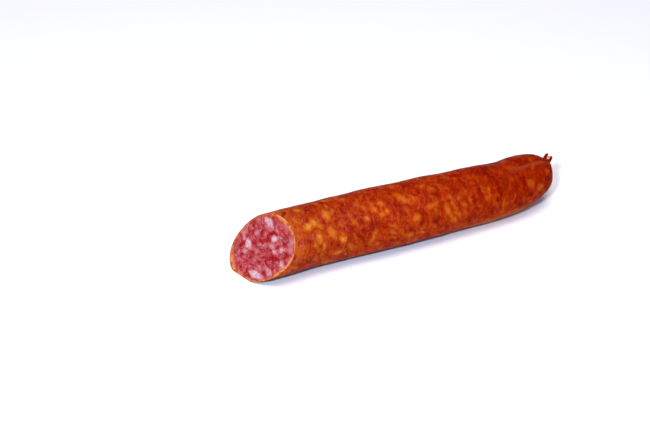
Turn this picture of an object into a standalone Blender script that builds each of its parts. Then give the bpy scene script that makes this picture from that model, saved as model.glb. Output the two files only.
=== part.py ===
"""Cured sausage: a piece cut on the bias, lying on its side with its gathered end to +X.

One closed solid, in metres, +Z up. The origin is the middle of the footprint, on the ground.
"""

import math

import bmesh
import bpy
from mathutils import Matrix, Vector, noise

# Overall form
RADIUS = 0.0191              # at the cut, where the sausage is fattest
CUT_X = 0.0007               # station of the middle of the cut face
END_START_X = 0.157          # station where the rounded end begins
END_LENGTH = 0.0301          # length of the rounded end
END_BLUNTNESS = 0.632        # below 1 the end is blunter than an ellipsoid
END_TURN = -0.08             # the blunt end is turned a little toward -Y
END_TURN_SHARE = 0.7         # share of the rounded end over which it turns

# Unevenness of the filling
TAPER = 0.0019               # radius lost by the start of the rounded end
TAPER_POWER = 2.6
WAIST_DEPTH = 0.0005         # slight waist a little way behind the cut
WAIST_X = 0.034
WAIST_SPREAD = 0.018
BOW = 0.0014                 # sideways bow of the length
BOW_X = 0.038
BOW_SPREAD = 0.032
LUMP_HEIGHT = 0.0004
LUMP_SIZE = 0.016

# Place on top, near the rounded end, where the sausage was pressed flatter
PRESS_DEPTH = 0.0009
PRESS_X = 0.158
PRESS_LENGTH = 0.013
PRESS_CLOCK = math.radians(152.0)    # from straight down, by way of +Y
PRESS_SPREAD = math.radians(26.0)

# Turned-up nose
NOSE_START_X = 0.1445
NOSE_RUN = 0.0428
NOSE_LIFT = 0.00355
NOSE_SWING = 0.0015

# Knife cut
CUT_TURN = math.radians(24.1)    # turned about Z away from square
CUT_LEAN = math.radians(33.5)    # leaning back from upright
CUT_BLEND = 0.050                # length over which the rings turn square again
WANDER = 0.00115                 # the knife strayed this far from flat at the rim
WANDER_CLOCK = math.radians(15.4)

# Flat that the sausage rests on
FLAT_DEPTH = 0.0012

# Gathered casing round the tuft
GATHER_TILT = math.radians(20.7)   # the tuft's place on the rounded end, off the axis
GATHER_CLOCK = math.radians(88.0)  # and round the axis, from +Y towards +Z
PLEATS = 11
PLEAT_DEPTH = 0.0009
PLEAT_START = 0.18                 # share of the rounded end that stays smooth
PLEAT_DRIFTS = ((2.0, 0.5, 0.6), (3.0, 0.35, 2.0))   # waves a turn, strength, start
TUFT_START = 0.93                  # share of the rounded end where the tuft begins

# Tuft of dry casing, with two ears and a notch between them
TUFT_HEIGHT = 0.0043
TUFT_RADIUS = 0.00225
TUFT_NECK = 0.0003                 # how far the tuft is pinched halfway up
TUFT_FLARE_POWER = 2.2
TUFT_DIRECTION = Vector((0.70, 0.33, 0.63)).normalized()
EAR_DIRECTION = Vector((0.64, -0.64, -0.42))
EAR_SPREAD = 0.20
NOTCH_FAR = 0.26                   # share of the height lost in the notch on the far side
NOTCH_NEAR = 0.60                  # and on the near side
NOTCH_WIDTH = 1.5
MOUTH_ROUNDING = 0.84              # share of the radius kept over the brim
HOLLOW = 0.45                      # share of the height that the mouth sinks

# Facets
AROUND = 60
BODY_RINGS = 36
END_RINGS = 28
TUFT_RINGS = 6
MOUTH_RINGS = 2

# Finish
CASING_COLOUR = (0.36, 0.055, 0.013, 1.0)
CASING_ROUGHNESS = 0.48


def clear_scene():
    for item in list(bpy.data.objects):
        bpy.data.objects.remove(item, do_unlink=True)


def smoothstep(value):
    """Ease from 0 to 1."""
    value = min(max(value, 0.0), 1.0)
    return value * value * (3.0 - 2.0 * value)


def bell(x, middle, spread):
    """A bump of height 1 round a station."""
    return math.exp(-((x - middle) / spread) ** 2)


def body_radius(x):
    """Radius of the filling at a station."""
    tapered = TAPER * (max(x, 0.0) / END_START_X) ** TAPER_POWER
    return RADIUS - tapered - WAIST_DEPTH * bell(x, WAIST_X, WAIST_SPREAD)


def spine(x):
    """Sideways and upright place of the middle of the sausage at a station."""
    nose = smoothstep((x - NOSE_START_X) / NOSE_RUN)
    y = BOW * bell(x, BOW_X, BOW_SPREAD) + NOSE_SWING * nose
    z = body_radius(min(x, END_START_X)) - FLAT_DEPTH + NOSE_LIFT * nose
    return y, z


def uneven(point):
    """Move a surface point in or out from the spine by the lumps and the pressed place."""
    y, z = spine(point.x)
    outward = (point - Vector((point.x, y, z))).normalized()
    turn = math.atan2(outward.y, -outward.z) - PRESS_CLOCK
    pressed = PRESS_DEPTH * bell(point.x, PRESS_X, PRESS_LENGTH) * bell(turn, 0.0, PRESS_SPREAD)
    swell = LUMP_HEIGHT * noise.noise(point / LUMP_SIZE) - pressed
    return point + outward * swell


def rest_on_ground(point):
    """Press what hangs below the ground up to it, which leaves the resting flat."""
    return Vector((point.x, point.y, max(point.z, 0.0)))


def height_off_middle(point):
    """Height of a point above the middle of the cut face."""
    return point.z - (RADIUS - FLAT_DEPTH)


def knife_wander(point):
    """How far the knife strayed along X from a flat cut: out on two sides, in on two."""
    y = point.y / RADIUS
    z = height_off_middle(point) / RADIUS
    one = y * math.sin(WANDER_CLOCK) - z * math.cos(WANDER_CLOCK)
    other = y * math.cos(WANDER_CLOCK) + z * math.sin(WANDER_CLOCK)
    return WANDER * (other ** 2 - one ** 2)


def cut_offset(point):
    """How far the knife cut lies along X from a square cut, beside a surface point."""
    across = -math.cos(CUT_LEAN) * math.sin(CUT_TURN)
    upright = math.sin(CUT_LEAN)
    along = -math.cos(CUT_LEAN) * math.cos(CUT_TURN)
    flat = -(across * point.y + upright * height_off_middle(point)) / along
    return flat + knife_wander(point)


def body_ring(x):
    """Points round the sausage at a station, slanted with the knife cut near it."""
    radius = body_radius(x)
    y, z = spine(x)
    slant = max(1.0 - (x - CUT_X) / CUT_BLEND, 0.0)
    ring = []
    for step in range(AROUND):
        angle = 2.0 * math.pi * step / AROUND
        point = Vector((x, y + radius * math.sin(angle), z - radius * math.cos(angle)))
        point = rest_on_ground(uneven(point))
        point.x += slant * cut_offset(point)
        ring.append(point)
    return ring


def pleat(angle):
    """Height of the gathers at an angle round the tuft: round ridges, sharp creases."""
    drift = sum(much * math.sin(waves * angle + start) for waves, much, start in PLEAT_DRIFTS)
    return abs(math.sin(0.5 * PLEATS * angle + drift)) - 1.0


def end_point(direction, share):
    """Point of the rounded end that a unit direction from its middle points at."""
    spread = math.hypot(direction.y, direction.z)
    radius = body_radius(END_START_X) * spread ** END_BLUNTNESS
    turn = END_TURN * smoothstep(share / END_TURN_SHARE) * radius * direction.y / spread
    x = END_START_X + END_LENGTH * direction.x + turn
    y, z = spine(x)
    return Vector((x, y + radius * direction.y / spread, z + radius * direction.z / spread))


def end_ring(share):
    """Points of a ring that closes round the tuft's place as share goes from 0 to 1."""
    opening = 0.5 * math.pi * (1.0 - share)
    tilt_axis = Vector((0.0, -math.sin(GATHER_CLOCK), math.cos(GATHER_CLOCK)))
    tilt = Matrix.Rotation(GATHER_TILT * smoothstep(share), 3, tilt_axis)
    depth = PLEAT_DEPTH * smoothstep((share - PLEAT_START) / (TUFT_START - PLEAT_START))
    y, z = spine(END_START_X)
    middle = Vector((END_START_X, y, z))
    ring = []
    for step in range(AROUND):
        angle = 2.0 * math.pi * step / AROUND
        across = Vector((0.0, math.sin(angle), -math.cos(angle))) * math.sin(opening)
        direction = tilt @ (across + Vector((math.cos(opening), 0.0, 0.0)))
        point = uneven(end_point(direction, share))
        outward = (point - middle).normalized()
        ring.append(rest_on_ground(point + outward * depth * pleat(angle)))
    return ring


def square_to_tuft(vector):
    """Unit vector of what is left of a vector at right angles to the tuft."""
    return (vector - TUFT_DIRECTION * vector.dot(TUFT_DIRECTION)).normalized()


def earness(spoke):
    """1 in the direction of either ear, -1 in the direction of the notch."""
    return 2.0 * spoke.dot(square_to_tuft(EAR_DIRECTION)) ** 2 - 1.0


def mouth_radius(spoke):
    """Radius of the tuft at its brim, wider toward the ears."""
    return TUFT_RADIUS * (1.0 + EAR_SPREAD * earness(spoke))


def brim_share(spoke):
    """Height of the brim in a direction, as a share: full at the ears, less in the notch."""
    near_side = square_to_tuft(EAR_DIRECTION).cross(TUFT_DIRECTION)
    nearness = 0.5 + 0.5 * spoke.dot(near_side)
    notch = NOTCH_FAR + (NOTCH_NEAR - NOTCH_FAR) * nearness
    return 1.0 - notch * (1.0 - smoothstep((earness(spoke) + 1.0) / NOTCH_WIDTH))


def tuft_ring(base, height):
    """Outside of the tuft at a share of its height."""
    middle = sum(base, Vector()) / len(base)
    ring = []
    for start in base:
        reach = (start - middle).length
        spoke = (start - middle).normalized()
        upright = square_to_tuft(spoke)
        mouth = mouth_radius(upright)
        radius = mouth + (reach - mouth) * (1.0 - height) ** TUFT_FLARE_POWER
        radius -= TUFT_NECK * math.sin(math.pi * height) ** 2
        way = spoke.lerp(upright, smoothstep(height)).normalized()
        rise = TUFT_HEIGHT * height * brim_share(upright)
        ring.append(middle + way * radius + TUFT_DIRECTION * rise)
    return ring


def mouth_ring(base, share):
    """Hollow of the tuft, from its brim at share 0 to its middle at share 1."""
    middle = sum(base, Vector()) / len(base)
    ring = []
    for start in base:
        upright = square_to_tuft(start - middle)
        radius = mouth_radius(upright) * MOUTH_ROUNDING * (1.0 - share)
        rise = TUFT_HEIGHT * brim_share(upright) * (1.0 - HOLLOW * math.sin(0.5 * math.pi * share))
        ring.append(middle + upright * radius + TUFT_DIRECTION * rise)
    return ring


def loft(name, rings):
    """Skin over closed rings of equal count, with a fan over each end."""
    shape = bmesh.new()
    loops = [[shape.verts.new(point) for point in ring] for ring in rings]
    for near, far in zip(loops[:-1], loops[1:]):
        for step in range(AROUND):
            after = (step + 1) % AROUND
            shape.faces.new((near[step], near[after], far[after], far[step]))
    for loop in (loops[0], loops[-1]):
        middle = shape.verts.new(sum((vert.co for vert in loop), Vector()) / AROUND)
        for step in range(AROUND):
            shape.faces.new((loop[step], loop[(step + 1) % AROUND], middle))
    bmesh.ops.triangulate(shape, faces=[face for face in shape.faces if len(face.verts) == 4])
    bmesh.ops.recalc_face_normals(shape, faces=shape.faces)
    mesh = bpy.data.meshes.new(name)
    shape.to_mesh(mesh)
    shape.free()
    return mesh


def centre_footprint(mesh):
    """Move the mesh so that the origin is below the middle of its box."""
    lows = [min(vert.co[axis] for vert in mesh.vertices) for axis in (0, 1)]
    highs = [max(vert.co[axis] for vert in mesh.vertices) for axis in (0, 1)]
    middle = [0.5 * (low + high) for low, high in zip(lows, highs)]
    mesh.transform(Matrix.Translation((-middle[0], -middle[1], 0.0)))


def casing_material():
    """Smoked, paprika-red casing."""
    material = bpy.data.materials.new("casing")
    material.use_nodes = True
    shader = material.node_tree.nodes["Principled BSDF"]
    shader.inputs["Base Color"].default_value = CASING_COLOUR
    shader.inputs["Roughness"].default_value = CASING_ROUGHNESS
    shader.inputs["Metallic"].default_value = 0.0
    material.diffuse_color = CASING_COLOUR
    return material


def make_sausage():
    """Body from the cut to the rounded end, the gathered end and its tuft, as one skin."""
    spacing = (END_START_X - CUT_X) / BODY_RINGS
    rings = [body_ring(CUT_X + spacing * step) for step in range(BODY_RINGS + 1)]
    rings += [end_ring(TUFT_START * step / END_RINGS) for step in range(1, END_RINGS + 1)]
    base = rings[-1]
    rings += [tuft_ring(base, level / TUFT_RINGS) for level in range(1, TUFT_RINGS + 1)]
    rings += [mouth_ring(base, level / (MOUTH_RINGS + 1)) for level in range(1, MOUTH_RINGS + 1)]
    mesh = loft("sausage", rings)
    centre_footprint(mesh)
    mesh.materials.append(casing_material())
    mesh.shade_smooth()
    mesh.set_sharp_from_angle(angle=math.radians(40.0))
    return bpy.data.objects.new("sausage", mesh)


def main():
    clear_scene()
    collection = bpy.data.collections.new("cured_sausage")
    bpy.context.scene.collection.children.link(collection)
    collection.objects.link(make_sausage())


main()
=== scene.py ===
import math
import random

import bpy
import numpy as np
from mathutils import Matrix, Vector, noise


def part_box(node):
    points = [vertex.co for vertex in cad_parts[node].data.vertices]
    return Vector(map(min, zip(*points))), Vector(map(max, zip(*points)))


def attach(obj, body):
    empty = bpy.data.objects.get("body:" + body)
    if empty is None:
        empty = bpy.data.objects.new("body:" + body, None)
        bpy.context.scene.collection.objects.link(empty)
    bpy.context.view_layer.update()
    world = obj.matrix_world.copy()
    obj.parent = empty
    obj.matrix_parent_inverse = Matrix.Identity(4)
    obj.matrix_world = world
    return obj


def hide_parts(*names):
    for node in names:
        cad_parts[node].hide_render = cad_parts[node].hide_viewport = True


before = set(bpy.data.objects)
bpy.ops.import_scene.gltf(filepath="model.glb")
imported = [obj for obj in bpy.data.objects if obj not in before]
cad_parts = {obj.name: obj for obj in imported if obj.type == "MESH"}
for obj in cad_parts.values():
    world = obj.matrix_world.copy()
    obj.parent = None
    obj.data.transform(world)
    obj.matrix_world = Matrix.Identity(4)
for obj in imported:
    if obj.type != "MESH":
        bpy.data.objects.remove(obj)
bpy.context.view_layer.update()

mm = 0.001    # every length below is in millimetres until a mesh is made
fullTurn = 2.0 * math.pi


# the sausage's own form, by the same rules as its solid
sausage = {
    "radius": 19.1, "cutX": 0.7, "endX": 157.0, "endLength": 30.1, "bluntness": 0.632,
    "fullLength": 188.0,                 # to the foot of the tuft
    "taper": 1.9, "taperPower": 2.6,
    "waist": (0.5, 34.0, 18.0),          # depth, station, spread
    "bow": (1.4, 38.0, 32.0),            # height, station, spread
    "lumps": (0.4, 16.0),                # height, size
    "nose": (144.5, 42.8, 3.55, 1.5),    # start, run, lift, swing
    "pressed": (0.9, 158.0, 13.0, math.radians(152.0), math.radians(26.0)),    # a flatter place on top
    "flat": 1.2,
    "cutTurn": math.radians(24.1), "cutLean": math.radians(33.5), "cutBlend": 50.0,
    "wander": (1.15, math.radians(15.4)),    # the knife did not go quite straight
}

gather = {
    "tilt": math.radians(20.7), "clock": math.radians(88.0), "turn": -0.08, "turnedBy": 0.7,
    "pleats": 11, "depth": 0.6, "from": 0.18, "to": 0.93,
    "wobbles": ((0.5, 2.0, 0.6), (0.35, 3.0, 2.0)),    # how much, how often, where: no two pleats are alike
    "shoulder": (1.1, 0.93, 0.11, math.radians(310.0), math.radians(48.0)),    # fuller beside the tuft
}

tuft = {
    "height": 4.3, "radius": 2.25, "pointsTo": (0.70, 0.33, 0.63), "earLine": (0.64, -0.64, -0.42),
    "earSpread": 0.05, "earBreadth": 0.55, "farNotch": 0.22, "nearNotch": 0.52,
    "flare": (1.25, 0.45),         # toward the far ear, toward the near one
    "torn": (0.08, 0.9, 60.0),     # height, size and start of the brim's unevenness
    "curl": 0.16, "curlFrom": 0.85,
    "wall": 0.60, "wallPower": 4, "cupDepth": 0.5, "cupPower": 0.8,
    "rings": 18, "cupRings": 6,
    "wallTint": (0.05, 1.0), "cupTint": (1.2, 2.0), "lipPale": 0.9,    # tints up the wall and inside
}


def unit(vectors):
    return vectors / np.linalg.norm(vectors, axis=-1, keepdims=True)


def smoothStep(t):
    t = np.clip(t, 0.0, 1.0)
    return t * t * (3.0 - 2.0 * t)


def bell(x, middle, spread):
    return np.exp(-((x - middle) / spread) ** 2)


def radiusAt(x):
    depth, middle, spread = sausage["waist"]
    tapered = sausage["taper"] * (np.maximum(x, 0.0) / sausage["endX"]) ** sausage["taperPower"]
    return sausage["radius"] - tapered - depth * bell(x, middle, spread)


def spineAt(x):
    start, run, lift, swing = sausage["nose"]
    height, middle, spread = sausage["bow"]
    nose = smoothStep((x - start) / run)
    y = height * bell(x, middle, spread) + swing * nose
    z = radiusAt(np.minimum(x, sausage["endX"])) - sausage["flat"] + lift * nose
    return y, z


def softNoise(points, size, shift=0.0):
    # one smooth value from -1 to 1 a point
    return np.array([noise.noise(p) for p in (points / size + shift).tolist()])


def driftNoise(points, size, shift=0.0):
    # one smooth small vector a point
    return np.array([noise.noise_vector(p) for p in (points / size + shift).tolist()])


def uneven(points):
    rows = points.reshape(-1, 3)
    y, z = spineAt(rows[:, 0])
    outward = unit(rows - np.stack([rows[:, 0], y, z], 1))
    height, size = sausage["lumps"]
    depth, station, length, clock, spread = sausage["pressed"]
    turn = np.arctan2(outward[:, 1], -outward[:, 2]) - clock
    pressed = depth * bell(rows[:, 0], station, length) * bell(turn, 0.0, spread)
    swell = height * softNoise(rows, size) - pressed
    return (rows + outward * swell[:, None]).reshape(points.shape)


def restOnGround(points):
    points[..., 2] = np.maximum(points[..., 2], 0.0)
    return points


def cutDirections():
    # outward from the knife cut, level across it, and up it
    turn, lean = sausage["cutTurn"], sausage["cutLean"]
    outward = np.array([-math.cos(lean) * math.cos(turn), -math.cos(lean) * math.sin(turn), math.sin(lean)])
    across = np.cross((0.0, 0.0, 1.0), outward)
    across /= np.linalg.norm(across)
    return outward, across, np.cross(outward, across)


def offMiddle(points):
    # height above the middle of the cut
    return points[..., 2] - sausage["radius"] + sausage["flat"]


def knifeWander(points):
    height, clock = sausage["wander"]
    y, z = points[..., 1] / sausage["radius"], offMiddle(points) / sausage["radius"]
    one = y * math.sin(clock) - z * math.cos(clock)
    other = y * math.cos(clock) + z * math.sin(clock)
    return height * (other ** 2 - one ** 2)


def cutOffset(points):
    outward = cutDirections()[0]
    plane = -(outward[1] * points[..., 1] + outward[2] * offMiddle(points)) / outward[0]
    return plane + knifeWander(points)


def bodySkin(stations, clocks):
    x, clock = np.meshgrid(stations, clocks, indexing="ij")
    y, z = spineAt(x)
    radius = radiusAt(x)
    points = np.stack([x, y + radius * np.sin(clock), z - radius * np.cos(clock)], -1)
    points = restOnGround(uneven(points))
    slant = np.clip(1.0 - (x - sausage["cutX"]) / sausage["cutBlend"], 0.0, None)
    points[..., 0] += slant * cutOffset(points)
    return points


def pleatHeight(clock):
    # round ridges with sharp creases between
    wobble = sum(much * np.sin(often * clock + where) for much, often, where in gather["wobbles"])
    return np.abs(np.sin(0.5 * gather["pleats"] * clock + wobble)) - 1.0


def endSkin(shares, clocks):
    share, clock = np.meshgrid(shares, clocks, indexing="ij")
    opening = 0.5 * math.pi * (1.0 - share)
    tilt = gather["tilt"] * smoothStep(share)
    lean = np.array([math.cos(gather["clock"]), math.sin(gather["clock"])])
    ahead = np.cos(opening)
    side = np.stack([np.sin(clock), -np.cos(clock)], -1) * np.sin(opening)[..., None]
    leaning = side @ lean
    turned = ahead * np.cos(tilt) - leaning * np.sin(tilt)
    lifted = leaning * (np.cos(tilt) - 1.0) + ahead * np.sin(tilt)
    side = side + lifted[..., None] * lean
    spread = np.linalg.norm(side, axis=-1)
    radius = radiusAt(sausage["endX"]) * spread ** sausage["bluntness"]
    turn = gather["turn"] * smoothStep(share / gather["turnedBy"]) * radius * side[..., 0] / spread
    x = sausage["endX"] + sausage["endLength"] * turned + turn
    y, z = spineAt(x)
    points = uneven(np.stack([x, y + radius * side[..., 0] / spread, z + radius * side[..., 1] / spread], -1))
    outward = unit(points - np.array([sausage["endX"], *spineAt(sausage["endX"])]))
    depth = gather["depth"] * smoothStep((share - gather["from"]) / (gather["to"] - gather["from"]))
    height, shareAt, length, clockAt, spread = gather["shoulder"]
    fuller = height * bell(share, shareAt, length) * bell(clock, clockAt, spread)
    return restOnGround(points + outward * (depth * pleatHeight(clock) + fuller)[..., None])


def tuftSkin(base):
    # the gathered casing goes up into two ears with a notch between, hollow in the middle
    middle = base.mean(0)
    pointsTo = unit(np.array(tuft["pointsTo"]))
    earLine = np.array(tuft["earLine"])
    earLine = unit(earLine - (earLine @ pointsTo) * pointsTo)
    nearSide = np.cross(earLine, pointsTo)
    spokes = base - middle
    reach = np.linalg.norm(spokes, axis=1)
    spokes = spokes / reach[:, None]
    upright = unit(spokes - (spokes @ pointsTo)[:, None] * pointsTo)
    ears = 2.0 * (upright @ earLine) ** 2 - 1.0
    between = 1.0 - smoothStep((ears + 1.0) / tuft["earBreadth"])
    near = 0.5 + 0.5 * (upright @ nearSide)
    notch = tuft["farNotch"] + (tuft["nearNotch"] - tuft["farNotch"]) * near
    tornHeight, tornSize, tornStart = tuft["torn"]
    brim = 1.0 - notch * between + tornHeight * softNoise(base + tornStart, tornSize)
    mouth = tuft["radius"] * (1.0 + tuft["earSpread"] * ears)
    slim, full = tuft["flare"]
    flare = slim + (full - slim) * smoothStep(upright @ earLine)
    rings = []
    for level in range(1, tuft["rings"] + 1):
        share = level / tuft["rings"]
        radius = mouth + (reach - mouth) * (1.0 - share) ** flare
        radius *= 1.0 - tuft["curl"] * max(share - tuft["curlFrom"], 0.0) / (1.0 - tuft["curlFrom"])
        spoke = unit(spokes + (upright - spokes) * smoothStep(share))
        rings.append(middle + spoke * radius[:, None] + pointsTo * (tuft["height"] * share * brim)[:, None])
    for level in range(1, tuft["cupRings"] + 1):
        share = level / (tuft["cupRings"] + 1)
        wall = tuft["wall"] + (1.0 - tuft["wall"]) * (1.0 - share) ** tuft["wallPower"]
        radius = mouth * (1.0 - share) * wall
        sunk = tuft["cupDepth"] * math.sin(0.5 * math.pi * share) ** tuft["cupPower"]
        rise = tuft["height"] * brim * (1.0 - sunk)
        rings.append(middle + upright * radius[:, None] + pointsTo * rise[:, None])
    tint = np.concatenate([np.linspace(*tuft["wallTint"], tuft["rings"]),
                           np.linspace(*tuft["cupTint"], tuft["cupRings"])])
    lipTint = 1.0 + tuft["lipPale"] * near * between    # the lip between the ears shows its pale inner side
    return np.array(rings), np.outer(tint, lipTint).ravel()


# fat grains, one field for the cut face and for what shows through the casing
faceGrains = [
    # across, up the cut, half length, half width, turn in degrees, whiteness
    (-2.8, 15.0, 5.0, 2.3, -18, 0.75), (4.7, 8.7, 2.3, 2.1, 20, 1.0), (-11.2, -2.8, 2.9, 2.2, -60, 0.9),
    (-11.5, -8.0, 2.2, 1.7, 30, 0.55), (-17.3, 1.5, 2.4, 1.6, 70, 0.5), (5.2, 3.9, 2.3, 1.6, 10, 0.6),
    (12.3, 5.5, 2.1, 1.5, 60, 0.7), (8.0, 2.1, 1.7, 1.3, 0, 0.8), (17.0, 10.9, 5.0, 2.0, -70, 0.45),
    (16.3, -2.2, 2.5, 1.9, -45, 0.8), (2.6, -16.2, 5.5, 2.3, 8, 1.0), (10.0, -10.2, 2.6, 2.0, -30, 0.6),
    (-8.2, 5.4, 2.2, 1.6, 20, 0.5), (8.8, 11.2, 0.9, 0.7, 0, 0.9), (9.1, 18.0, 1.6, 1.0, 60, 0.4),
    (-0.3, 11.4, 1.4, 1.1, 0, 0.4), (4.1, 14.4, 2.2, 1.0, -50, 0.5), (-11.3, 12.2, 1.5, 1.1, 30, 0.4),
    (2.9, -11.0, 1.9, 1.1, -60, 0.5), (-13.1, -14.3, 1.6, 1.3, 0, 0.35), (-2.9, -9.3, 2.0, 1.2, 40, 0.5),
    (-18.9, -9.5, 2.2, 0.9, 80, 0.3), (19.6, 2.8, 1.7, 0.9, 80, 0.45), (-7.5, -20.8, 1.6, 1.1, 0, 0.4),
]

casingGrains = [
    # station, clock in degrees, half length, half width, tilt in degrees, paleness
    (29, 207, 2.7, 2.2, -30, 1.0), (25, 212, 3.0, 2.2, -15, 0.9), (32, 215, 1.6, 1.2, 25, 0.7),
    (38, 198, 4.0, 2.0, 80, 0.6), (42, 193, 1.7, 1.0, -45, 0.45), (30, 236, 3.3, 2.0, -85, 0.95),
    (27, 245, 2.1, 1.7, 65, 0.6), (38, 233, 4.2, 2.2, 70, 0.4), (44, 249, 2.5, 2.1, 65, 0.8),
    (40, 273, 3.7, 1.6, -5, 0.6), (48, 267, 2.7, 1.2, 60, 0.6), (62, 260, 4.4, 1.0, -60, 0.7),
    (60, 223, 1.8, 1.5, -80, 0.75), (66, 210, 1.8, 1.3, 60, 0.7), (70, 222, 1.5, 1.4, 85, 0.75),
    (71, 200, 2.0, 1.7, 85, 0.5), (23, 172, 2.3, 2.0, 35, 0.6), (51, 173, 1.7, 1.4, 10, 0.4),
    (15, 247, 3.2, 1.7, 75, 0.5), (20, 199, 2.1, 1.3, 60, 0.5), (28, 257, 1.6, 0.9, 70, 0.45),
    (49, 154, 2.9, 2.0, -75, 0.35), (73, 218, 1.8, 1.4, 80, 0.8), (84, 200, 4.2, 2.1, 55, 0.5),
    (88, 207, 1.7, 1.2, 70, 0.5), (99, 184, 1.9, 1.3, -45, 0.55), (101, 227, 3.7, 1.2, -10, 0.95),
    (110, 241, 3.3, 1.9, 75, 0.65), (113, 218, 1.4, 1.3, 35, 0.5), (114, 265, 2.7, 1.9, 60, 0.6),
    (90, 242, 2.5, 2.0, 65, 0.6), (85, 275, 2.9, 2.2, 0, 0.5), (74, 257, 2.0, 1.2, 60, 0.45),
    (104, 195, 2.2, 2.0, 70, 0.4), (121, 255, 2.1, 1.1, 65, 0.45), (94, 264, 1.9, 1.1, -70, 0.4),
    (125, 234, 2.5, 1.2, 85, 0.5), (137, 241, 2.3, 1.0, 85, 0.45), (148, 258, 3.0, 0.8, 75, 0.45),
    (157, 186, 4.9, 1.6, 30, 0.35), (167, 237, 3.4, 2.6, 50, 0.65), (173, 256, 3.2, 2.6, 45, 0.8),
    (180, 227, 2.2, 1.7, 10, 0.75), (155, 214, 2.3, 1.3, 85, 0.35),
]

leanLumps = [
    # darker lumps of lean under the casing, in the same terms
    (101, 257, 2.6, 1.6, 60, 0.9), (103, 234, 1.7, 1.0, 50, 0.8), (107, 231, 1.9, 1.0, 60, 0.9),
    (89, 201, 2.1, 0.9, 40, 0.8), (78, 186, 2.4, 1.1, 40, 0.8), (63, 238, 2.8, 1.0, 75, 0.9),
    (164, 221, 1.9, 0.8, 35, 0.8), (151, 215, 1.9, 1.3, 65, 0.9), (128, 237, 2.2, 1.3, 60, 0.9),
    (143, 246, 2.2, 1.2, 55, 0.8), (159, 262, 3.3, 0.9, 65, 0.8),
]

grind = {
    "seed": 12, "stations": (-14.0, 186.0), "tilts": (0.3, 2.2), "flatness": 0.8,
    "longer": (1.0, 2.0), "narrower": (0.6, 1.0),
    "ragged": (0.70, 2.4, 0.25, 0.8, 40.0),    # the grains' edges: drift, size, finer drift, size and shift
    "reach": 2.0,    # depths are kept between plus and minus this
    # loose grains under the casing
    "loose": 800, "smallest": 0.5, "largest": 2.6, "rarity": 3.0,
    "depths": (0.2, 1.6), "whites": (0.15, 0.75),
    "small": 1.3,    # no loose grain above this among the placed ones
    "placedFrom": math.radians(135.0), "placedTo": math.radians(322.0), "placedDepth": 0.9,
    # lumps of lean under the casing
    "lean": 520, "leanSizes": (0.6, 1.9), "leanLonger": (1.2, 2.4), "leanNarrower": (0.5, 0.9),
    "leanDarks": (0.3, 1.0), "leanDepths": (0.2, 1.4), "placedLeanDepth": 0.6,
    # grains on the cut
    "onCut": 120, "cutReach": 24.0, "cutSizes": (0.35, 0.9, 2.0), "cutSunk": (-0.3, 0.6),
    "cutWhites": (0.1, 0.7), "placedSunk": 0.5, "placedThick": 1.2,
}


def grainOnCut(u, v, sunk, long, wide, thick, turn, white):
    outward, across, up = cutDirections()
    middle = np.array([sausage["cutX"], 0.0, sausage["radius"] - sausage["flat"]])
    centre = middle + u * across + v * up - outward * sunk
    axes = np.array([across * math.cos(turn) + up * math.sin(turn),
                     up * math.cos(turn) - across * math.sin(turn), outward])
    return centre, axes / np.array([[long], [wide], [thick]]), wide, white


def placedOnCut():
    return [grainOnCut(u, v, grind["placedSunk"], long, wide, wide * grind["placedThick"],
                       math.radians(turn), white) for u, v, long, wide, turn, white in faceGrains]


def looseOnCut():
    draw = random.Random(grind["seed"] + 1)
    smallest, more, rarity = grind["cutSizes"]
    grains = []
    for number in range(grind["onCut"]):
        radius, angle = grind["cutReach"] * math.sqrt(draw.random()), draw.uniform(0.0, fullTurn)
        size = smallest + more * draw.random() ** rarity
        turn = draw.uniform(0.0, math.pi)
        long, wide = size * draw.uniform(*grind["longer"]), size * draw.uniform(*grind["narrower"])
        sunk, white = draw.uniform(*grind["cutSunk"]), draw.uniform(*grind["cutWhites"])
        u, v = radius * math.cos(angle), radius * math.sin(angle)
        grains.append(grainOnCut(u, v, sunk, long, wide, wide, turn, white))
    return grains


def skinRadius(x):
    # the sausage's radius at a station, closing over the rounded end
    share = np.clip((x - sausage["endX"]) / sausage["endLength"], 0.0, 0.999)
    return radiusAt(min(x, sausage["endX"])) * (1.0 - share ** 2) ** (sausage["bluntness"] / 2.0)


def grainUnderCasing(x, clock, long, wide, tilt, white, depth):
    y, z = spineAt(x)
    radius = skinRadius(x) - depth
    centre = np.array([x, y + radius * math.sin(clock), z - radius * math.cos(clock)])
    along = np.array([1.0, 0.0, 0.0])
    level = np.array([0.0, math.cos(clock), math.sin(clock)])
    axes = np.array([along * math.cos(tilt) + level * math.sin(tilt),
                     level * math.cos(tilt) - along * math.sin(tilt), np.cross(along, level)])
    thin = min(long, wide)
    return centre, axes / np.array([[long], [wide], [thin * grind["flatness"]]]), thin, white


def placedUnderCasing(rows, depth):
    return [grainUnderCasing(x, math.radians(clock), long, wide, math.radians(tilt), white, depth)
            for x, clock, long, wide, tilt, white in rows]


def looseUnderCasing():
    draw = random.Random(grind["seed"])
    grains = []
    for number in range(grind["loose"]):
        x, clock = draw.uniform(*grind["stations"]), draw.uniform(0.0, fullTurn)
        size = grind["smallest"] + (grind["largest"] - grind["smallest"]) * draw.random() ** grind["rarity"]
        if grind["placedFrom"] < clock < grind["placedTo"]:
            size = min(size, grind["small"])
        long, wide = size * draw.uniform(*grind["longer"]), size * draw.uniform(*grind["narrower"])
        depth, white = draw.uniform(*grind["depths"]), draw.uniform(*grind["whites"])
        grains.append(grainUnderCasing(x, clock, long, wide, draw.uniform(*grind["tilts"]), white, depth))
    return grains


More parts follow.
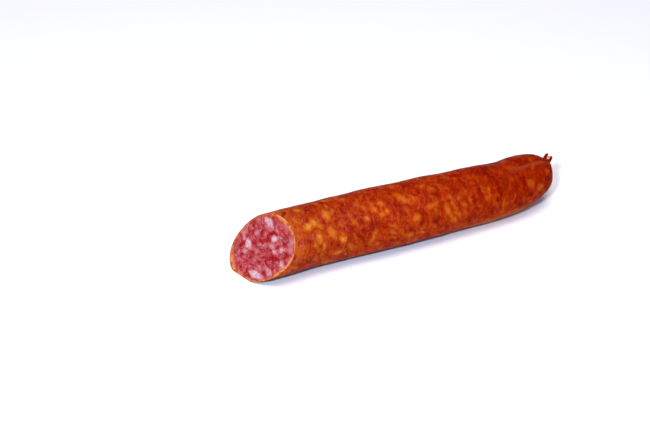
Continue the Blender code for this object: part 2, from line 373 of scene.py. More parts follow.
def looseLean():
    draw = random.Random(grind["seed"] + 2)
    lumps = []
    for number in range(grind["lean"]):
        x, clock = draw.uniform(*grind["stations"]), draw.uniform(0.0, fullTurn)
        size = draw.uniform(*grind["leanSizes"])
        long, wide = size * draw.uniform(*grind["leanLonger"]), size * draw.uniform(*grind["leanNarrower"])
        tilt = draw.uniform(*grind["tilts"])
        dark, depth = draw.uniform(*grind["leanDarks"]), draw.uniform(*grind["leanDepths"])
        lumps.append(grainUnderCasing(x, clock, long, wide, tilt, dark, depth))
    return lumps


def fatDepth(points, grains):
    # how far inside a grain each point lies, negative outside, with that grain's whiteness
    coarse, coarseSize, fine, fineSize, fineShift = grind["ragged"]
    moved = points + coarse * driftNoise(points, coarseSize) + fine * driftNoise(points, fineSize, fineShift)
    depth = np.full(len(points), -grind["reach"])
    white = np.zeros(len(points))
    order = np.argsort(moved[:, 0])
    sortedX = moved[order, 0]
    for centre, axes, wide, whiteness in grains:
        reach = grind["reach"] + 1.0 / np.linalg.norm(axes, axis=1).min()
        first, last = np.searchsorted(sortedX, (centre[0] - reach, centre[0] + reach))
        near = order[first:last]
        away = moved[near] - centre
        near, away = near[np.abs(away[:, 1]) < reach], away[np.abs(away[:, 1]) < reach]
        inside = (1.0 - np.linalg.norm(away @ axes.T, axis=1)) * wide
        deeper = inside > depth[near]
        depth[near[deeper]] = inside[deeper]
        white[near[deeper]] = whiteness
    return np.clip(depth, -grind["reach"], grind["reach"]), white


def ringFaces(rings, around):
    first = np.arange(rings - 1)[:, None] * around
    step = np.arange(around)[None, :]
    after = (step + 1) % around
    faces = np.stack([first + step, first + after, first + around + after, first + around + step], -1)
    return faces.reshape(-1, 4)


def makePiece(name, points, faces, values, material):
    mesh = bpy.data.meshes.new(name)
    mesh.from_pydata((points * mm).tolist(), [], faces)
    mesh.validate()
    for label, value in values.items():
        layer = mesh.attributes.new(label, "FLOAT", "POINT")
        layer.data.foreach_set("value", value.astype(np.float32))
    mesh.materials.append(material)
    mesh.shade_smooth()
    piece = bpy.data.objects.new(name, mesh)
    bpy.context.scene.collection.objects.link(piece)
    return piece


def skinNormals(rings):
    # outward normals of a closed-round grid of rings
    along = np.gradient(rings, axis=0)
    roundStep = np.roll(rings, -1, 1) - np.roll(rings, 1, 1)
    normals = np.cross(roundStep, along)
    return normals / np.maximum(np.linalg.norm(normals, axis=-1), 1e-9)[..., None]


casingSkin = {
    "around": 240, "spacing": 0.56, "endSpan": 42.0,    # points round, and how far apart they are along
    "cutRings": 3, "tuftRings": 8,    # rings over which the relief fades out at each end
    "thickness": 0.25, "recess": 1.1, "backSteps": (0.75, 0.5, 0.25),    # the edge turned in behind the cut
    "seenDepth": 0.7, "fatBulge": 0.10, "bulgeEdge": 1.2,
    "swells": ((0.13, 7.0, 3.0), (0.06, 2.4, 9.0)),    # height, size, shift of each layer of soft swells
    "creases": (0.10, 16.0, 1.7, 0.13, 5.0),    # of the dry casing: depth, length, spacing, width, shift
    "dryness": (120.0, 60.0, 0.5, 1.2),    # where it grows, over what run, least, how much more
    "fold": (198.0, 4.5, 148.0, 22.0, 0.40),    # clock, width, where it starts, run, height
    "aboveFold": (0.7, -16.0, 9.0),    # a flatter place above the fold: depth, place, width
    "topShadeStrip": (172.0, 14.0, 150.0, 26.0, 0.6, 120.0),    # clock, swing, its run, width, least, full at
    "rawPlaces": (
        # station, clock, length, spread in degrees, strength: purpler patches of lean under the casing
        (57.0, 224.0, 9.0, 26.0, 1.0), (79.0, 232.0, 8.0, 20.0, 0.8), (47.0, 210.0, 6.0, 14.0, 0.6),
        (98.0, 215.0, 7.0, 18.0, 0.6), (11.0, 222.0, 9.0, 24.0, 0.45), (120.0, 235.0, 8.0, 20.0, 0.4),
        (30.0, 197.0, 18.0, 11.0, 0.5),
    ),
}


def foldRise(station):
    start, run = casingSkin["fold"][2:4]
    return smoothStep((station - start) / run)


def foldLine(station, clock):
    return foldRise(station) * bell(np.degrees(clock) - casingSkin["fold"][0], 0.0, casingSkin["fold"][1])


def casingHeight(points, clock, depthOfFat, station):
    relief = casingSkin["fatBulge"] * smoothStep(depthOfFat / casingSkin["bulgeEdge"] + 0.5)
    for height, size, shift in casingSkin["swells"]:
        relief = relief + height * softNoise(points, size, shift)
    depth, length, spacing, width, shift = casingSkin["creases"]
    start, run, least, more = casingSkin["dryness"]
    stretched = points / np.array([length, spacing, spacing])
    dryness = least + more * smoothStep((station - start) / run)
    relief = relief - depth * dryness * bell(softNoise(stretched, 1.0, shift), 0.0, width)
    # the fold that runs back from the tuft, with a flatter place above it
    hollow, place, breadth = casingSkin["aboveFold"]
    flatter = hollow * bell(np.degrees(clock) - casingSkin["fold"][0], place, breadth)
    return relief + casingSkin["fold"][4] * (foldLine(station, clock) - foldRise(station) * flatter)


def topShadeBand(station, clock):
    # the smoother, darker strip along the top: partly the skin's own smoky tone, partly painted shade where
    # the top faces away from the front lamp
    place, swing, run, width, least, fullAt = casingSkin["topShadeStrip"]
    turn = np.degrees(clock) - place - swing * smoothStep(station / run)
    return bell(turn, 0.0, width) * (least + (1.0 - least) * smoothStep(station / fullAt))


def rawMeat(station, clock):
    total = np.zeros(len(station))
    for x, turn, length, spread, strength in casingSkin["rawPlaces"]:
        total += strength * bell(station, x, length) * bell(np.degrees(clock), turn, spread)
    return total


def smoothCasing():
    # rings of points from the cut to the foot of the tuft, with each point's station and clock
    around = casingSkin["around"]
    clocks = np.arange(around) * fullTurn / around
    bodyRings = int((sausage["endX"] - sausage["cutX"]) / casingSkin["spacing"])
    endRings = int(casingSkin["endSpan"] / casingSkin["spacing"])
    stations = np.linspace(sausage["cutX"], sausage["endX"], bodyRings)
    end = endSkin(np.linspace(0.0, gather["to"], endRings + 1)[1:], clocks)
    endY, endZ = spineAt(end[..., 0])
    endClock = np.arctan2(end[..., 1] - endY, endZ - end[..., 2]) % fullTurn
    station = np.concatenate([np.repeat(stations, around), end[..., 0].ravel()])
    clock = np.concatenate([np.tile(clocks, bodyRings), endClock.ravel()])
    return np.concatenate([bodySkin(stations, clocks), end]), station, clock


def reliefFade(count):
    # none at the cut, which stays in its plane, and none at the foot of the tuft
    around, nearTuft = casingSkin["around"], casingSkin["tuftRings"]
    fade = np.clip((np.arange(count) // around) / casingSkin["cutRings"], 0.0, 1.0)
    fade[-around * nearTuft:] *= np.repeat(np.linspace(1.0, 0.0, nearTuft), around)
    return fade


def makeCasing(grains, lumps, material):
    around = casingSkin["around"]
    skin, station, clock = smoothCasing()
    tuftRings, tuftRise = tuftSkin(skin[-1])
    out = skinNormals(skin).reshape(-1, 3)
    points = skin.reshape(-1, 3)
    depth, white = fatDepth(points - out * casingSkin["seenDepth"], grains)
    leanDepth, leanDark = fatDepth(points - out * casingSkin["seenDepth"], lumps)
    height = casingHeight(points, clock, depth, station) * reliefFade(len(points))
    points = restOnGround(points + out * height[:, None])

    # the cut edge turns in and goes back along the sausage, behind the meat of the cut
    rim = points[:around]
    middle = rim.mean(0)
    lip = middle + (rim - middle) * (1.0 - casingSkin["thickness"] / sausage["radius"])
    back = np.array([casingSkin["recess"], 0.0, 0.0])
    behind = [middle + back + (lip - middle) * part for part in casingSkin["backSteps"]]
    behind = np.concatenate(([lip, lip + back] + behind)[::-1])
    rows = np.concatenate([behind, points, tuftRings.reshape(-1, 3)])
    rings = len(rows) // around
    faces = [tuple(face) for face in ringFaces(rings, around).tolist()]
    hub, tip = len(rows), len(rows) + 1
    last = (rings - 1) * around
    for step in range(around):
        after = (step + 1) % around
        faces.append((hub, after, step))
        faces.append((last + step, last + after, tip))
    rows = np.concatenate([rows, [middle + back, tuftRings[-1].mean(0)]])

    measures = {
        # on the skin, then on the tuft, behind the cut, and at the two closing points
        "fatDepth": (depth, -1.0, 0.4, -1.0),
        "fatPale": (white, 0.0, 0.45, 0.0),
        "alongLength": (station / sausage["fullLength"], 1.0, 0.0, 1.0),
        "tuftRise": (np.zeros(len(points)), tuftRise, 0.0, 2.0),
        "topShadeBand": (topShadeBand(station, clock), 0.0, 0.0, 0.0),
        "leanDepth": (leanDepth, -1.0, -1.0, -1.0),
        "height": (points[:, 2], 20.0, 20.0, 20.0),
        "foldLine": (foldLine(station, clock), 0.0, 0.0, 0.0),
        "rawMeat": (rawMeat(station, clock), 0.0, 0.0, 0.0),
        "leanDark": (leanDark, 0.0, 0.0, 0.0),
    }
    tuftCount = len(tuftRings) * around
    values = {label: np.concatenate([np.full(len(behind), hidden), skinValue, np.full(tuftCount, tuftValue),
                                     np.full(2, closing)])
              for label, (skinValue, tuftValue, hidden, closing) in measures.items()}
    return makePiece("casing", rows, faces, values, material), lip


cutSurface = {
    "steps": 170, "overlap": 0.1, "thickness": 1.2,
    "bulge": 0.12, "bulgeEdge": 0.8,
    "swells": ((0.06, 1.6, 2.0), (0.04, 0.7, 7.0)),    # height, size, shift
    "fadeAtRim": 0.8, "edgeDip": 0.12, "dipWidth": 0.5,
    "smokedRim": 1.25,
    "widerRim": ((192.0, 34.0, 2.6), (35.0, 32.0, 2.2), (285.0, 20.0, 1.2)),    # clock, spread, extra
}


def roundFromSquare(steps):
    # even grid of a square pressed onto a disc: share of the way out, and angle
    side = np.linspace(-1.0, 1.0, steps)
    a, b = np.meshgrid(side, side, indexing="ij")
    wide = np.abs(a) > np.abs(b)
    safeA, safeB = np.where(a == 0, 1e-9, a), np.where(b == 0, 1e-9, b)
    share = np.where(wide, a, b)
    angle = np.where(wide, (math.pi / 4) * (b / safeA), (math.pi / 2) - (math.pi / 4) * (a / safeB))
    angle = np.where(share < 0, angle + math.pi, angle) % fullTurn
    return np.abs(share).ravel(), angle.ravel()


def cutRelief(points, depth, fromRim):
    height = cutSurface["bulge"] * smoothStep(depth / cutSurface["bulgeEdge"] + 0.5)
    for tall, size, shift in cutSurface["swells"]:
        height = height + tall * softNoise(points, size, shift)
    dip = cutSurface["edgeDip"] * (1.0 - smoothStep(fromRim / cutSurface["dipWidth"]))
    return height * smoothStep(fromRim / cutSurface["fadeAtRim"]) - dip


def makeCutFace(lip, grains, material):
    steps, around = cutSurface["steps"], len(lip)
    out, angle = roundFromSquare(steps)
    flatLip = lip.copy()
    flatLip[:, 0] -= knifeWander(lip)
    middle = flatLip.mean(0)
    turns = angle / fullTurn * around
    low = np.floor(turns).astype(int) % around
    part = (turns - np.floor(turns))[:, None]
    toEdge = flatLip[low] * (1.0 - part) + flatLip[(low + 1) % around] * part - middle
    reach = np.linalg.norm(toEdge, axis=1)
    points = middle + toEdge * (1.0 + cutSurface["overlap"] / reach)[:, None] * out[:, None]
    points[:, 0] += knifeWander(points)
    fromRim = (1.0 - out) * reach
    rimWidth = cutSurface["smokedRim"]
    for clock, spread, wider in cutSurface["widerRim"]:
        rimWidth = rimWidth + wider * bell((np.degrees(angle) - clock + 180.0) % 360.0 - 180.0, 0.0, spread)
    depth, white = fatDepth(points, grains)
    top = points + cutDirections()[0] * cutRelief(points, depth, fromRim)[:, None]

    # the slab of meat is closed at the back, round its border
    index = np.arange(steps * steps).reshape(steps, steps)
    quads = np.stack([index[:-1, :-1], index[1:, :-1], index[1:, 1:], index[:-1, 1:]], -1).reshape(-1, 4)
    faces = [tuple(quad) for quad in quads.tolist()]
    border = np.concatenate([index[0], index[1:, -1], index[-1, -2::-1], index[-2:0:-1, 0]]).tolist()
    below = points[border] + np.array([cutSurface["thickness"], 0.0, 0.0])
    start, count = steps * steps, len(border)
    for step in range(count):
        after = (step + 1) % count
        faces.append((border[step], border[after], start + after, start + step))
    faces.append(tuple(start + step for step in range(count)))
    measures = {"fatDepth": (depth, -1.0), "fatPale": (white, 0.0), "fromRim": (fromRim / rimWidth, 0.0)}
    values = {label: np.concatenate([value, np.full(count, atBack)])
              for label, (value, atBack) in measures.items()}
    return makePiece("cut_face", np.concatenate([top, below]), faces, values, material)


def newFinish(name):
    material = bpy.data.materials.new(name)
    material.use_nodes = True
    tree = material.node_tree
    tree.nodes.clear()
    return material, tree


def put(tree, kind, inputs=None, **settings):
    node = tree.nodes.new("ShaderNode" + kind)
    for key, value in settings.items():
        setattr(node, key, value)
    for socket, value in (inputs or {}).items():
        if isinstance(value, bpy.types.NodeSocket):
            tree.links.new(value, node.inputs[socket])
        else:
            node.inputs[socket].default_value = value
    return node


def mathOf(tree, operation, a, b=0.0, clamp=False):
    return put(tree, "Math", {0: a, 1: b}, operation=operation, use_clamp=clamp).outputs[0]


def vectorOf(tree, operation, a, b):
    # the second one is a plain number only when scaling
    second = "Scale" if operation == "SCALE" else 1
    return put(tree, "VectorMath", {0: a, second: b}, operation=operation).outputs[0]


def stepOf(tree, value, low, high, outLow=0.0, outHigh=1.0):
    # soft threshold
    inputs = {"Value": value, "From Min": low, "From Max": high, "To Min": outLow, "To Max": outHigh}
    return put(tree, "MapRange", inputs, interpolation_type="SMOOTHSTEP").outputs[0]


def mixOf(tree, share, a, b, mode="MIX"):
    return put(tree, "Mix", {0: share, 6: a, 7: b}, data_type="RGBA", blend_type=mode).outputs[2]


def stainOf(tree, share, colour, stain):
    # the colour darkened by a stain, as far as share goes
    return mixOf(tree, share, colour, mixOf(tree, 1.0, colour, stain, "MULTIPLY"))


def sumOf(tree, *parts):
    # weighted sum of (weight, value) pairs
    total = None
    for weight, value in parts:
        term = mathOf(tree, "MULTIPLY", value, weight)
        total = term if total is None else mathOf(tree, "ADD", total, term)
    return total


def productOf(tree, first, *others):
    for other in others:
        first = mathOf(tree, "MULTIPLY", first, other)
    return first


def ruffled(tree, value, *parts):
    # a value pushed up and down by (weight, noise) pairs
    pushes = [(weight, mathOf(tree, "SUBTRACT", part, 0.5)) for weight, part in parts]
    return sumOf(tree, (1.0, value), *pushes)


def within(tree, look, *pairs):
    # product of soft steps, each given by a value and the name of its step in the look
    return productOf(tree, *[stepOf(tree, value, *look[label]) for value, label in pairs])


def paint(tree, look, colour, tint, *pairs):
    return mixOf(tree, within(tree, look, *pairs), colour, look[tint])


def grainOf(tree, coords, size, detail=2.0, rough=0.5, distortion=0.0, stretch=None):
    # noise whose blobs are about size millimetres, 0 to 1
    if stretch:
        coords = vectorOf(tree, "DIVIDE", coords, stretch)
    inputs = {"Vector": coords, "Scale": 1.0 / size, "Detail": detail, "Roughness": rough,
              "Distortion": distortion}
    return put(tree, "TexNoise", inputs).outputs[0]


def cellsOf(tree, coords, size, softness):
    # ground crumbs about size millimetres, one tone each, 0 to 1
    inputs = {"Vector": coords, "Scale": 1.0 / size, "Smoothness": softness, "Randomness": 1.0}
    cells = put(tree, "TexVoronoi", inputs, feature="SMOOTH_F1")
    return put(tree, "SeparateColor", {0: cells.outputs["Color"]}).outputs[0]


def bentCoords(tree, coords, size, amount):
    # coordinates pushed about so that the crumbs lose their straight edges
    bend = put(tree, "TexNoise", {"Vector": coords, "Scale": 1.0 / size, "Detail": 2.0}).outputs["Color"]
    centred = vectorOf(tree, "SUBTRACT", bend, (0.5, 0.5, 0.5))
    return vectorOf(tree, "ADD", coords, vectorOf(tree, "SCALE", centred, amount))


def veinsOf(tree, coords, size, width, detail):
    # thin winding threads, 1 along each thread
    wave = grainOf(tree, coords, size, detail, 0.5, 0.3)
    away = mathOf(tree, "ABSOLUTE", mathOf(tree, "SUBTRACT", wave, 0.5))
    return stepOf(tree, away, width, 0.0)


def valueOf(tree, label):
    return put(tree, "Attribute", attribute_name=label).outputs["Fac"]


def millimetres(tree):
    return vectorOf(tree, "SCALE", put(tree, "TexCoord").outputs["Object"], 1.0 / mm)


def finishWith(tree, look, colour, roughness, bumps):
    bump = put(tree, "Bump", {"Height": bumps, "Strength": look["bumpStrength"],
                              "Distance": look["bumpHeight"]})
    shader = put(tree, "BsdfPrincipled", {
        "Base Color": colour, "Roughness": roughness, "Normal": bump.outputs[0],
        "Specular IOR Level": look["specular"], "Subsurface Weight": look["lightInside"],
        "Subsurface Radius": look["lightReach"], "Subsurface Scale": look["lightDepth"],
    })
    put(tree, "OutputMaterial", {"Surface": shader.outputs[0]})


casingLook = {
    "deep": (0.190, 0.0048, 0.0002, 1), "red": (0.320, 0.0205, 0.0008, 1),
    "orange": (0.425, 0.056, 0.0030, 1), "glow": (0.440, 0.082, 0.0050, 1),
    "spot": (0.490, 0.130, 0.0130, 1), "spotPale": (0.570, 0.230, 0.045, 1),
    "purple": (0.200, 0.0090, 0.0065, 1), "fibreAndSheen": (0.440, 0.074, 0.034, 1),
    "lean": (0.160, 0.0035, 0.0005, 1), "oily": (0.560, 0.108, 0.007, 1),
    # the near-black colour here is painted contact shade along the bottom
    "contactShade": (0.045, 0.0050, 0.0018, 1), "foldHighlight": (0.340, 0.070, 0.030, 1),
    "tied": (0.130, 0.008, 0.0015, 1), "tuftPale": (0.62, 0.36, 0.32, 1),
    "paprika": (1.0, 0.82, 0.68, 1), "smoked": (0.75, 0.52, 0.25, 1),    # stains over what is there
    "roughness": 0.44, "roughnessSway": 0.06, "specular": 0.012, "bumpStrength": 0.32, "bumpHeight": 0.00022,
    "lightInside": 0.12, "lightReach": (1.0, 0.25, 0.08), "lightDepth": 0.0010,
    # sizes of what is in the meat, with how fine, rough and twisted it is
    "drawnOut": (1.0, 1.7, 1.7),    # the meat's own grain runs round the sausage more than along it
    "bend": (2.6, 2.6), "mottle": (7.5, 3.0, 0.55, 0.4), "patch": (9.0, 3.0, 0.6, 0.6),
    "crumbs": (2.3, 0.75), "smallCrumbs": (1.1, 0.7), "shred": (1.4, 2.0, 0.5, 0.8), "fine": (0.6, 1.0, 0.5),
    "strands": (0.9, 1.5, 0.5, 0.6, (0.7, 1.8, 1.8)), "streaks": (0.75, 2.0, 0.5, 0.5, (0.7, 1.5, 1.5)),
    "veins": (3.6, 0.045, 0.5),
    # soft steps: from, to, then how much at the one and at the other
    "toneShares": (0.28, 0.15, 0.32, 0.25), "toRed": (0.26, 0.54), "toOrange": (0.46, 0.76),
    "rawPatch": (0.48, 0.68), "rawAlong": (0.2, 1.0, 0.7, 0.3), "rawTone": (0.70, 0.40, 0.25, 0.75),
    "cutSway": (0.10, 0.14), "oilyByCut": (0.075, 0.0, 0.0, 0.85), "oilyCrumbs": (0.2, 0.6, 0.5, 1.0),
    "oilyRaw": (0.7, 0.1, 0.15, 1.0), "strandEdge": (0.54, 0.74), "threadShares": (0.40, 1.0, 0.5),
    "threadsAlong": (0.0, 0.9, 0.34, 0.12), "threadsByCut": (0.09, 0.02),
    "lightStreaks": (0.55, 0.72, 0.0, 0.55), "darkStreaks": (0.45, 0.28, 0.0, 0.45),
    "leanRagged": 1.2, "leanEdge": (-0.5, 0.6, 0.0, 0.8),
    "fatRagged": (1.1, 0.6), "fatByPaleness": (0.0, 0.8, 0.12, 1.0), "fatAlong": (0.2, 1.0, 1.0, 0.65),
    "fatLayers": (("glow", -1.6, 0.6, 0.75), ("spot", -0.5, 1.3, 0.95), ("spotPale", 0.3, 2.0, 0.9)),
    "palestGrains": (0.35, 0.8, 0.25, 1.0), "palestAlong": (0.22, 0.50, 1.0, 0.45),
    "contactShadeSway": 3.5, "contactShadeHeight": (4.7, 3.0), "contactShadeAlong": (0.5, 0.9, 0.8, 0.25),
    "smokeAlong": (0.45, 1.0), "smokeHeight": (8.0, 33.0, 0.05, 1.3), "smokeTone": (0.62, 0.40, 0.75, 1.3),
    "paprikaAlong": (0.12, 0.38), "smokeAndShadeOnTop": 0.26,
    "baseSway": (16.0, 8.0), "baseHeight": (14.5, 5.0, 0.0, 0.72), "baseAlong": (0.5, 0.8),
    "baseTone": (0.38, 0.58, 0.5, 1.0), "foldHighlightShare": 0.38,
    "tuftLayers": (("tied", 0.0, 0.3, 0.0, 1.0), ("orange", 0.7, 1.0, 0.0, 0.8),
                   ("tuftPale", 1.05, 1.3, 0.0, 0.9)),
    "shade": (0.3, 0.7, 0.89, 1.10), "gloss": (0.35, 0.65), "bumpShares": (0.6, 0.3, 0.4, 0.25),
}


def casingParts(tree):
    # what the colours and the bumps are made from
    look = casingLook
    coords = millimetres(tree)
    bent = bentCoords(tree, vectorOf(tree, "DIVIDE", coords, look["drawnOut"]), *look["bend"])
    parts = {label: grainOf(tree, coords, *look[label]) for label in ("mottle", "patch", "fine")}
    parts |= {label: grainOf(tree, bent, *look[label]) for label in ("shred", "strands", "streaks")}
    parts |= {label: cellsOf(tree, bent, *look[label]) for label in ("crumbs", "smallCrumbs")}
    parts |= {label: valueOf(tree, label) for label in ("alongLength", "height", "rawMeat")}
    mixed = (parts["crumbs"], parts["smallCrumbs"], parts["mottle"], parts["shred"])
    parts["tone"] = sumOf(tree, *zip(look["toneShares"], mixed))
    strands = within(tree, look, (parts["strands"], "strandEdge"))
    parts["threads"] = mathOf(tree, "MAXIMUM", strands, veinsOf(tree, bent, *look["veins"]))
    return parts


def mincedMeat(tree, parts):
    # crumbs of differing red under the skin, rawer in patches and oilier just behind the cut
    look, tone, along, shred = casingLook, parts["tone"], parts["alongLength"], parts["shred"]
    colour = mixOf(tree, within(tree, look, (tone, "toRed")), look["deep"], look["red"])
    colour = paint(tree, look, colour, "orange", (tone, "toOrange"))
    raw = within(tree, look, (parts["patch"], "rawPatch"), (along, "rawAlong"))
    raw = mathOf(tree, "ADD", raw, parts["rawMeat"], clamp=True)
    rawer = productOf(tree, raw, within(tree, look, (tone, "rawTone")))
    colour = mixOf(tree, rawer, colour, look["purple"])
    behindCut = ruffled(tree, along, *zip(look["cutSway"], (shred, parts["mottle"])))
    colour = paint(tree, look, colour, "oily", (behindCut, "oilyByCut"), (parts["crumbs"], "oilyCrumbs"),
                   (parts["rawMeat"], "oilyRaw"))
    # pale threads: partly real fibres of the skin, partly painted sheen where the dry skin catches the light
    where = (raw, within(tree, look, (along, "threadsAlong")),
             within(tree, look, (behindCut, "threadsByCut")))
    where = sumOf(tree, *zip(look["threadShares"], where))
    colour = mixOf(tree, productOf(tree, parts["threads"], where), colour, look["fibreAndSheen"])
    colour = paint(tree, look, colour, "glow", (parts["streaks"], "lightStreaks"))
    colour = paint(tree, look, colour, "lean", (parts["streaks"], "darkStreaks"))
    lean = ruffled(tree, valueOf(tree, "leanDepth"), (look["leanRagged"], shred))
    lean = productOf(tree, within(tree, look, (lean, "leanEdge")), valueOf(tree, "leanDark"))
    return mixOf(tree, lean, colour, look["lean"])


def fatUnderSkin(tree, parts, colour):
    # fat grains glowing through, soft at their edges and palest in the middle
    look, along, pale = casingLook, parts["alongLength"], valueOf(tree, "fatPale")
    ragged = zip(look["fatRagged"], (parts["shred"], parts["smallCrumbs"]))
    ragged = ruffled(tree, valueOf(tree, "fatDepth"), *ragged)
    strength = within(tree, look, (pale, "fatByPaleness"), (along, "fatAlong"))
    for tint, low, high, much in look["fatLayers"]:
        share = productOf(tree, stepOf(tree, ragged, low, high, 0.0, much), strength)
        if tint == "spotPale":
            share = productOf(tree, share, within(tree, look, (pale, "palestGrains"), (along, "palestAlong")))
        colour = mixOf(tree, share, colour, look[tint])
    return colour


def smokeOver(tree, parts, colour):
    # painted shade low down where it lies on the table, smoked toward the tied end and along the top (where
    # painted shade joins the smoke), paler low down at that end
    look, tone, along, height = casingLook, parts["tone"], parts["alongLength"], parts["height"]
    # painted shade: near-black colour just above the table, where the underside meets it
    low = ruffled(tree, height, (look["contactShadeSway"], parts["mottle"]))
    colour = paint(tree, look, colour, "contactShade", (low, "contactShadeHeight"), (along, "contactShadeAlong"))
    smoke = within(tree, look, (along, "smokeAlong"), (height, "smokeHeight"), (tone, "smokeTone"))
    # partly painted shade: the top strip gets extra smoke stain to darken the top
    onTop = mathOf(tree, "MULTIPLY", valueOf(tree, "topShadeBand"), look["smokeAndShadeOnTop"])
    colour = stainOf(tree, within(tree, look, (along, "paprikaAlong")), colour, look["paprika"])
    colour = stainOf(tree, mathOf(tree, "ADD", smoke, onTop, clamp=True), colour, look["smoked"])
    base = ruffled(tree, height, *zip(look["baseSway"], (parts["mottle"], parts["shred"])))
    return paint(tree, look, colour, "spot", (base, "baseHeight"), (along, "baseAlong"), (tone, "baseTone"))


def smokedCasing():
    look = casingLook
    material, tree = newFinish("smoked_casing")
    parts = casingParts(tree)
    colour = smokeOver(tree, parts, fatUnderSkin(tree, parts, mincedMeat(tree, parts)))
    # painted highlight: a paler tint along the crest of the fold that runs back from the tuft
    fold = mathOf(tree, "MULTIPLY", valueOf(tree, "foldLine"), look["foldHighlightShare"])
    colour = mixOf(tree, fold, colour, look["foldHighlight"])
    rise = valueOf(tree, "tuftRise")
    for tint, *step in look["tuftLayers"]:
        colour = mixOf(tree, stepOf(tree, rise, *step), colour, look[tint])
    shade = within(tree, look, (parts["fine"], "shade"))
    shade = put(tree, "CombineXYZ", {0: shade, 1: shade, 2: shade}).outputs[0]
    colour = mixOf(tree, 1.0, colour, shade, "MULTIPLY")
    bumped = (parts["shred"], parts["fine"], parts["smallCrumbs"], parts["threads"])
    dull, sway = look["roughness"], look["roughnessSway"]
    roughness = stepOf(tree, parts["mottle"], *look["gloss"], dull + sway, dull - sway)
    finishWith(tree, look, colour, roughness, sumOf(tree, *zip(look["bumpShares"], bumped)))
    return material


cutLook = {
    "lean": (0.240, 0.0008, 0.0034, 1), "meat": (0.350, 0.0085, 0.0150, 1),
    "pink": (0.450, 0.060, 0.068, 1), "film": (0.470, 0.160, 0.175, 1),
    "fat": (0.500, 0.185, 0.215, 1), "fatWhite": (0.610, 0.400, 0.430, 1),
    "rim": (0.470, 0.088, 0.020, 1), "rimPale": (0.610, 0.250, 0.090, 1),
    "roughness": 0.36, "specular": 0.035, "bumpStrength": 0.35, "bumpHeight": 0.00028,
    "lightInside": 0.15, "lightReach": (1.0, 0.4, 0.3), "lightDepth": 0.0009,
    # sizes, as for the casing
    "bend": (1.4, 1.8), "patch": (3.2, 4.0, 0.62, 1.0), "crumbs": (2.2, 0.35), "shred": (0.8, 4.0, 0.65, 1.2),
    "veins": (1.7, 0.045, 3.0), "fineVeins": (0.9, 0.05, 2.0), "veined": (3.5, 2.0, 0.5),
    "smear": (0.45, 2.0, 0.6, 0.8),
    # soft steps, as for the casing
    "toneShares": (0.24, 0.38, 0.38), "toMeat": (0.42, 0.54), "toPink": (0.51, 0.63, 0.0, 0.95),
    "veinedPlaces": (0.42, 0.60, 0.05, 0.85),
    "fatRagged": 1.0, "fatEdge": (-0.8, 0.8), "fatByWhiteness": (0.0, 0.7, 0.12, 0.95),
    "coreEdge": (-0.4, 1.3), "coreByWhiteness": (0.40, 0.95),
    "palePatch": (0.44, 0.58), "wetSmear": (0.52, 0.70, 0.0, 0.55), "darkSmear": (0.56, 0.36, 0.0, 0.85),
    "rimSway": (1.6, 1.2), "rimEdge": (1.2, 0.2, 0.0, 0.85), "rimPaleEdge": (0.9, 0.1),
    "rimCrumbs": (0.35, 0.6), "bumpShares": (0.6, 0.5, 0.4),
}


def cutMeat():
    look = cutLook
    material, tree = newFinish("cut_meat")
    coords = millimetres(tree)
    bent = bentCoords(tree, coords, *look["bend"])
    patch = grainOf(tree, coords, *look["patch"])
    crumbs = cellsOf(tree, bent, *look["crumbs"])
    shred = grainOf(tree, bent, *look["shred"])
    tone = sumOf(tree, *zip(look["toneShares"], (crumbs, patch, shred)))
    colour = mixOf(tree, within(tree, look, (tone, "toMeat")), look["lean"], look["meat"])
    colour = paint(tree, look, colour, "pink", (tone, "toPink"))
    threads = [veinsOf(tree, bent, *look[label]) for label in ("veins", "fineVeins")]
    threads = mathOf(tree, "MAXIMUM", *threads)
    where = within(tree, look, (grainOf(tree, coords, *look["veined"]), "veinedPlaces"))
    colour = mixOf(tree, productOf(tree, threads, where), colour, look["film"])
    ragged = ruffled(tree, valueOf(tree, "fatDepth"), (look["fatRagged"], shred))
    white = valueOf(tree, "fatPale")
    colour = paint(tree, look, colour, "fat", (ragged, "fatEdge"), (white, "fatByWhiteness"))
    colour = paint(tree, look, colour, "fatWhite", (ragged, "coreEdge"), (white, "coreByWhiteness"))

    # short wet fibres smeared by the knife, pale in the pale patches and dark in the dark ones
    smear = grainOf(tree, bent, *look["smear"])
    palePatch = within(tree, look, (patch, "palePatch"))
    wet = productOf(tree, within(tree, look, (smear, "wetSmear")), palePatch)
    colour = mixOf(tree, wet, colour, look["film"])
    dark = productOf(tree, within(tree, look, (smear, "darkSmear")), stepOf(tree, palePatch, 1.0, 0.0))
    colour = mixOf(tree, dark, colour, look["lean"])

    # smoke has coloured a thin uneven ring just inside the casing
    ring = ruffled(tree, valueOf(tree, "fromRim"), *zip(look["rimSway"], (patch, shred)))
    colour = paint(tree, look, colour, "rim", (ring, "rimEdge"))
    colour = paint(tree, look, colour, "rimPale", (ring, "rimPaleEdge"), (crumbs, "rimCrumbs"))
    bumps = sumOf(tree, *zip(look["bumpShares"], (shred, crumbs, threads)))
    finishWith(tree, look, colour, look["roughness"], bumps)
    return material


studio = {
    "floorSize": 6.0, "floorColour": (0.83, 0.83, 0.92, 1), "floorRoughness": 0.7, "floorSpecular": 0.2,
    "floorDrop": 0.0001,    # metres, so that the sausage's flat underside lies just above it
    "sky": (0.72, 0.80, 1.0, 1), "skyStrength": 0.28,
    "lamps": (
        # name, place in metres, width, watts, tint
        ("camera_side", (-0.72, -0.78, 1.06), 0.15, 17.0, (0.82, 0.90, 1.0)),
        ("overhead", (-0.08, -0.26, 1.47), 0.75, 18.0, (1.0, 0.94, 0.84)),
    ),
}


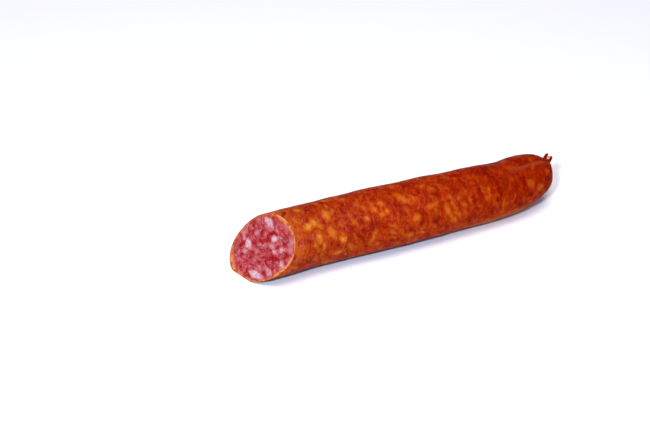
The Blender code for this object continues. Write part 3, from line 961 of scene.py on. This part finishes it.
def makeFloor():
    bpy.ops.mesh.primitive_plane_add(size=studio["floorSize"], location=(0.0, 0.0, -studio["floorDrop"]))
    floor = bpy.context.object
    floor.name = "table_top"
    material, tree = newFinish("white_table")
    shader = put(tree, "BsdfPrincipled", {
        "Base Color": studio["floorColour"], "Roughness": studio["floorRoughness"],
        "Specular IOR Level": studio["floorSpecular"],
    })
    put(tree, "OutputMaterial", {"Surface": shader.outputs[0]})
    floor.data.materials.append(material)


def aimAt(thing, direction):
    thing.rotation_euler = direction.to_track_quat("-Z", "Y").to_euler()
    bpy.context.scene.collection.objects.link(thing)


def makeLight():
    world = bpy.data.worlds.new("studio")
    bpy.context.scene.world = world
    world.use_nodes = True
    backdrop = world.node_tree.nodes["Background"]
    backdrop.inputs["Color"].default_value = studio["sky"]
    backdrop.inputs["Strength"].default_value = studio["skyStrength"]
    for name, place, width, watts, tint in studio["lamps"]:
        lamp = bpy.data.lights.new(name, "AREA")
        lamp.shape = "DISK"
        lamp.size = width
        lamp.energy = watts
        lamp.color = tint
        light = bpy.data.objects.new(name, lamp)
        light.location = place
        aimAt(light, -Vector(place))
    bpy.context.scene.view_settings.view_transform = "Standard"


viewpoint = {
    "aim": (43.755, 12.692, 18.25),    # station, aside, up, beside the sausage's own start
    "distance": 0.683,                 # metres
    "turn": -21.14, "raise": 40.9, "lens": 63.7,
}


def makeCamera(shift):
    turn, rise = math.radians(viewpoint["turn"]), math.radians(viewpoint["raise"])
    back = Vector((math.sin(turn) * math.cos(rise), -math.cos(turn) * math.cos(rise), math.sin(rise)))
    lens = bpy.data.cameras.new("camera")
    lens.lens = viewpoint["lens"]
    camera = bpy.data.objects.new("camera", lens)
    camera.location = Vector(viewpoint["aim"]) * mm + shift + back * viewpoint["distance"]
    aimAt(camera, -back)
    bpy.context.scene.camera = camera


makeFloor()
makeLight()
print("table and light ready")

noise.seed_set(grind["seed"])    # the grains' edges come out the same every time
skinGrains = placedUnderCasing(casingGrains, grind["placedDepth"]) + looseUnderCasing()
lumps = placedUnderCasing(leanLumps, grind["placedLeanDepth"]) + looseLean()
meatGrains = placedOnCut() + looseOnCut()
print("fat grains sown:", len(skinGrains), "under the casing,", len(meatGrains), "on the cut")

casing, lip = makeCasing(skinGrains, lumps, smokedCasing())
cutFace = makeCutFace(lip, meatGrains, cutMeat())
bpy.context.view_layer.update()
print("casing and cut face made")

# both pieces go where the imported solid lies
lowest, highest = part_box("sausage")
own = np.array([vertex.co for vertex in casing.data.vertices])
aside = (lowest.y + highest.y - own[:, 1].min() - own[:, 1].max()) / 2
shift = Vector((lowest.x - own[:, 0].min(), aside, 0.0))
for piece in (casing, cutFace):
    piece.data.transform(Matrix.Translation(shift))
    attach(piece, "root")
    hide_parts("sausage")
print("pieces placed, triangles:", [sum(len(face.vertices) - 2 for face in piece.data.polygons)
                                    for piece in (casing, cutFace)])

makeCamera(shift)
